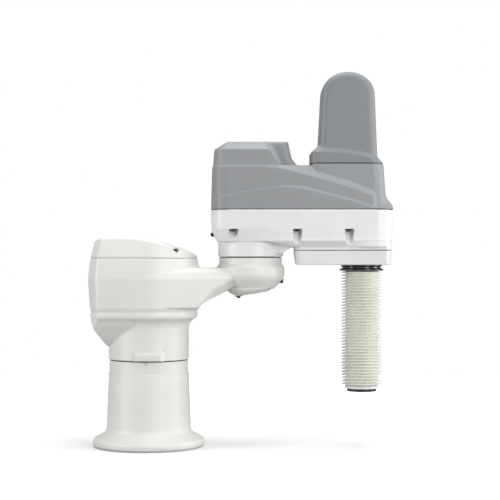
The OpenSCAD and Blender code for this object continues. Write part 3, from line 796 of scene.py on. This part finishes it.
def tower(x, y, z):
    """The hollow tower, open below."""
    d = tower_outside(x, y, z)
    plan = collar_outline(x, y, 349, 503)
    room = np.minimum(smax(ARCH_SIDE(x, z) + GREY_WALL, np.abs(y) - 47.5 + 0.02 * (z - 640), 12),
                      np.maximum(plan + GREY_WALL, z - 609.5))
    return smax(d, -room, 0.6)


# The tower wears the darker copy of the cover grey, painted shade
solid("tower_cover_skin", tower, ((345, -66, 603), (507, 66, 812)), 1.9,
      SHADED_TOWER_GREY, "forearm", ("tower_cover",))


def collar_plan(x, y):
    """The outline that the tower's gasket follows."""
    return collar_outline(x, y, TURRET_X0, 502.6)


gasket("tower_gasket_ring", collar_plan, (TOWER_X, 0), 1.4, 3, TOWER_Z, TOWER_Z + GREY_GASKET, "forearm",
       "tower_gasket")

# ---------------------------------------------------------------- quill, bellows and flanges

FOLDS = 38
# Lower and upper end of the bellows
BELLOWS = (131.3, 378.3)
# Flange: circle and radius of its tapped holes
TOOL_CIRCLE_R = 25.0
TOOL_HOLE_R = 2.5


def fold_profile(crest, root, blunt):
    """The folded wall as radius and height, crests and roots blunt."""
    pitch = (BELLOWS[1] - BELLOWS[0]) / FOLDS
    out = [(root, BELLOWS[0])]
    for k in range(FOLDS):
        z = BELLOWS[0] + pitch * k
        for r, t in ((root + blunt, 0.14), (crest - blunt, 0.38), (crest, 0.46), (crest, 0.54),
                     (crest - blunt, 0.62), (root + blunt, 0.86), (root, 0.94)):
            out.append((r, z + pitch * t))
    out.append((root, BELLOWS[1]))
    return out


outer = fold_profile(43.6, 33.2, 0.8)
inner = fold_profile(42.2, 31.8, 0.8)
points, faces = lathe(outer + inner[::-1], 96, QUILL_X)
bellows = piece("bellows_folds", points, faces, IVORY, "forearm", ("bellows",))
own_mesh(bellows)

turned("bellows_clamp", [(33, BELLOWS[1]), (45.6, BELLOWS[1]), (47.4, 379.4), (47.4, 381.6), (44.6, 383),
                         (42, 383.8), (42, 387), (44.6, 388.4), (44.6, CAP_Z), (33, CAP_Z)],
       CLAMP_BLACK, "forearm", ("bellows_top_clamp",), r=0.8)
turned("bellows_cuff_ring", [(24.02, 124.6), (36, 124.6), (36, 131), (30, 131), (30, 142), (24.02, 142)],
       ARM_WHITE, "bellows_cuff", ("bellows_lower_cuff",), r=0.8)

FLANGE = outline([(-5, 117), (14.5, 117), (14.5, 118.4), (31.5, 118.4), (31.5, 124), (16, 124),
                  (16, 140), (-5, 140)], 0.25)


def tool_flange(x, y, z):
    """The flange at the quill's tip with its spigot, its through bore and four tapped holes."""
    r = np.hypot(x - QUILL_X, y)
    d = FLANGE(r, z)
    d = np.maximum(d, -np.minimum(np.maximum(r - 12.52, 124 - z), r - 6))
    for k in range(4):
        a = math.radians(45 + 90 * k)
        r = np.hypot(x - QUILL_X - TOOL_CIRCLE_R * math.cos(a), y - TOOL_CIRCLE_R * math.sin(a))
        d = np.maximum(d, TOOL_HOLE_R - r)
    return d


solid("tool_flange_disc", tool_flange, ((426, -34, 114), (494, 34, 143)), 0.9,
      FLANGE_BLACK, "quill", ("tool_flange",))

# ---------------------------------------------------------------- screws


def cap_screw(head_r, head_h, washer_r, washer_h, shank_r, length):
    """A socket head cap screw on a washer, its seat at z = 0 and its head up."""
    key = head_r * 0.52
    head = [(0.01, -length), (shank_r, -length), (shank_r, washer_h), (head_r, washer_h),
            (head_r, washer_h + head_h - 0.5), (head_r - 0.5, washer_h + head_h),
            (key + 0.3, washer_h + head_h), (key, washer_h + head_h - 0.3),
            (key, washer_h + head_h * 0.4), (0.01, washer_h + head_h * 0.4)]
    points, faces = lathe(head, 24, 0, six=(6, 7, 8))
    ring = soft_corners([(shank_r, 0), (washer_r, 0), (washer_r, washer_h), (shank_r, washer_h)], 0.3, 2)
    more, rims = lathe(ring, 32, 0)
    rims = [[i + len(points) for i in face] for face in rims]
    return np.concatenate([points, more]), faces + rims


def screws(name, places, shape, body, node):
    """Copies of a screw at (position, turn about Z, tilt about Y) places, as one piece."""
    points, faces, start = [], [], 0
    base, quads = shape
    for where, turn, tilt in places:
        c, s = math.cos(math.radians(tilt)), math.sin(math.radians(tilt))
        tip = np.array([[c, 0, s], [0, 1, 0], [-s, 0, c]])
        c, s = math.cos(math.radians(turn)), math.sin(math.radians(turn))
        spin = np.array([[c, -s, 0], [s, c, 0], [0, 0, 1]])
        points.append(base @ (spin @ tip).T + np.array(where))
        faces += [[i + start for i in q] for q in quads]
        start += len(base)
    obj = piece(name, np.concatenate(points), faces, SCREW_BLACK, body, (node,))
    obj.data.set_sharp_from_angle(angle=math.radians(40))
    return obj


LID_PLACES = [((x, s * y, LID_SCREW_Z), 0, 0) for x, y in LID_SCREWS for s in (-1, 1)]
screws("lid_screw_set", LID_PLACES, cap_screw(3.0, 3.0, 5.6, 1.0, 2.5, 12), "upper_arm",
       "lid_screws")

ELBOW_PLACES = [((J2_X + 66, 0, 356), 0, 139), ((194, 0, 323.9), 0, 174)]
screws("elbow_screw_set", ELBOW_PLACES, cap_screw(3.6, 3.5, 8, 1.4, 2.5, 9), "upper_arm",
       "elbow_cover_screws")

POCKET_PLACES = [((x, s * POCKET_Y, SEAT_Z), 0, 180) for x in POCKET_X for s in (-1, 1)]
POCKET_PLACES.append(((139, 0, 457), 180, 120))
screws("cover_screw_set", POCKET_PLACES, cap_screw(4.0, 4, 7.4, 1.4, 3, 12), "forearm",
       "cover_screws")

# ---------------------------------------------------------------- stage, light and camera

# The stage is laid out in metres
FLOOR_R = 1.9
FLOOR_X = 0.2
FLOOR_DROP = 0.0002


def disc_mesh(name, radius, steps=96):
    """A flat round floor just under the object."""
    a = np.arange(steps) * 2 * math.pi / steps
    across = FLOOR_X + radius * np.cos(a)
    points = np.column_stack([across, radius * np.sin(a), np.full(steps, -FLOOR_DROP)])
    mesh = bpy.data.meshes.new(name)
    mesh.from_pydata(points.tolist(), [], [list(range(steps))])
    obj = bpy.data.objects.new(name, mesh)
    bpy.context.scene.collection.objects.link(obj)
    return obj


def camera_split(tree, seen, lit, out):
    """One shader for what the camera sees and another for the light that is bounced."""
    path = tree.nodes.new("ShaderNodeLightPath")
    mix = tree.nodes.new("ShaderNodeMixShader")
    tree.links.new(path.outputs["Is Camera Ray"], mix.inputs[0])
    tree.links.new(lit.outputs[0], mix.inputs[1])
    tree.links.new(seen.outputs[0], mix.inputs[2])
    tree.links.new(mix.outputs[0], out.inputs[0])


floor = disc_mesh("floor", FLOOR_R)
paper = bpy.data.materials.new("floor_paper")
paper.use_nodes = True
tree = paper.node_tree
tree.nodes.clear()
bright = tree.nodes.new("ShaderNodeBsdfPrincipled")
bright.inputs["Base Color"].default_value = (0.9, 0.9, 0.9, 1)
bright.inputs["Roughness"].default_value = 0.9
bright.inputs["Emission Color"].default_value = (1, 1, 1, 1)
# Whiter towards the edge, so that the paper runs into the backdrop
spot = tree.nodes.new("ShaderNodeTexCoord")
reach = tree.nodes.new("ShaderNodeVectorMath")
reach.operation = "LENGTH"
tree.links.new(spot.outputs["Object"], reach.inputs[0])
glow = tree.nodes.new("ShaderNodeMapRange")
glow.inputs["From Min"].default_value, glow.inputs["From Max"].default_value = 0.45, 1.5
glow.inputs["To Min"].default_value, glow.inputs["To Max"].default_value = 0.06, 0.9
tree.links.new(reach.outputs["Value"], glow.inputs["Value"])
tree.links.new(glow.outputs["Result"], bright.inputs["Emission Strength"])
dull = tree.nodes.new("ShaderNodeBsdfDiffuse")
dull.inputs["Color"].default_value = (0.4, 0.4, 0.4, 1)
camera_split(tree, bright, dull, tree.nodes.new("ShaderNodeOutputMaterial"))
floor.data.materials.append(paper)

world = bpy.data.worlds.new("studio")
bpy.context.scene.world = world
world.use_nodes = True
tree = world.node_tree
tree.nodes.clear()
backdrop, ambient = tree.nodes.new("ShaderNodeBackground"), tree.nodes.new("ShaderNodeBackground")
ambient.inputs["Strength"].default_value = 0.37
backdrop.inputs["Color"].default_value = ambient.inputs["Color"].default_value = (1, 1, 1, 1)
camera_split(tree, backdrop, ambient, tree.nodes.new("ShaderNodeOutputWorld"))


def area_light(name, place, target, size, power):
    """A rectangular lamp at a place, turned towards a target."""
    data = bpy.data.lights.new(name, "AREA")
    data.shape = "RECTANGLE"
    data.size, data.size_y = size
    data.energy = power
    obj = bpy.data.objects.new(name, data)
    bpy.context.scene.collection.objects.link(obj)
    obj.location = place
    aim = Vector(target) - Vector(place)
    obj.rotation_mode = "QUATERNION"
    obj.rotation_quaternion = aim.to_track_quat("-Z", "Y")
    return obj


area_light("top", (0.3, 0.1, 3.0), (0.2, 0, 0), (3.0, 2.4), 68)
area_light("key", (1.9, -2.6, 0.95), (0.2, 0, 0.4), (1.0, 1.8), 46)
area_light("left", (-2.5, -1.2, 0.8), (0.0, 0, 0.3), (0.9, 1.6), 38)
area_light("right", (3.0, -0.2, 0.9), (0.3, 0, 0.4), (0.8, 1.8), 40)

cam = bpy.data.cameras.new("camera")
cam.sensor_width = 36
cam.lens = 102.3
cam.clip_end = 100
camera = bpy.data.objects.new("camera", cam)
bpy.context.scene.collection.objects.link(camera)
camera.location = (0.2188, -3.075, 0.408)
camera.rotation_euler = (math.radians(90.28), 0, 0)
bpy.context.scene.camera = camera
bpy.context.scene.view_settings.view_transform = "Standard"
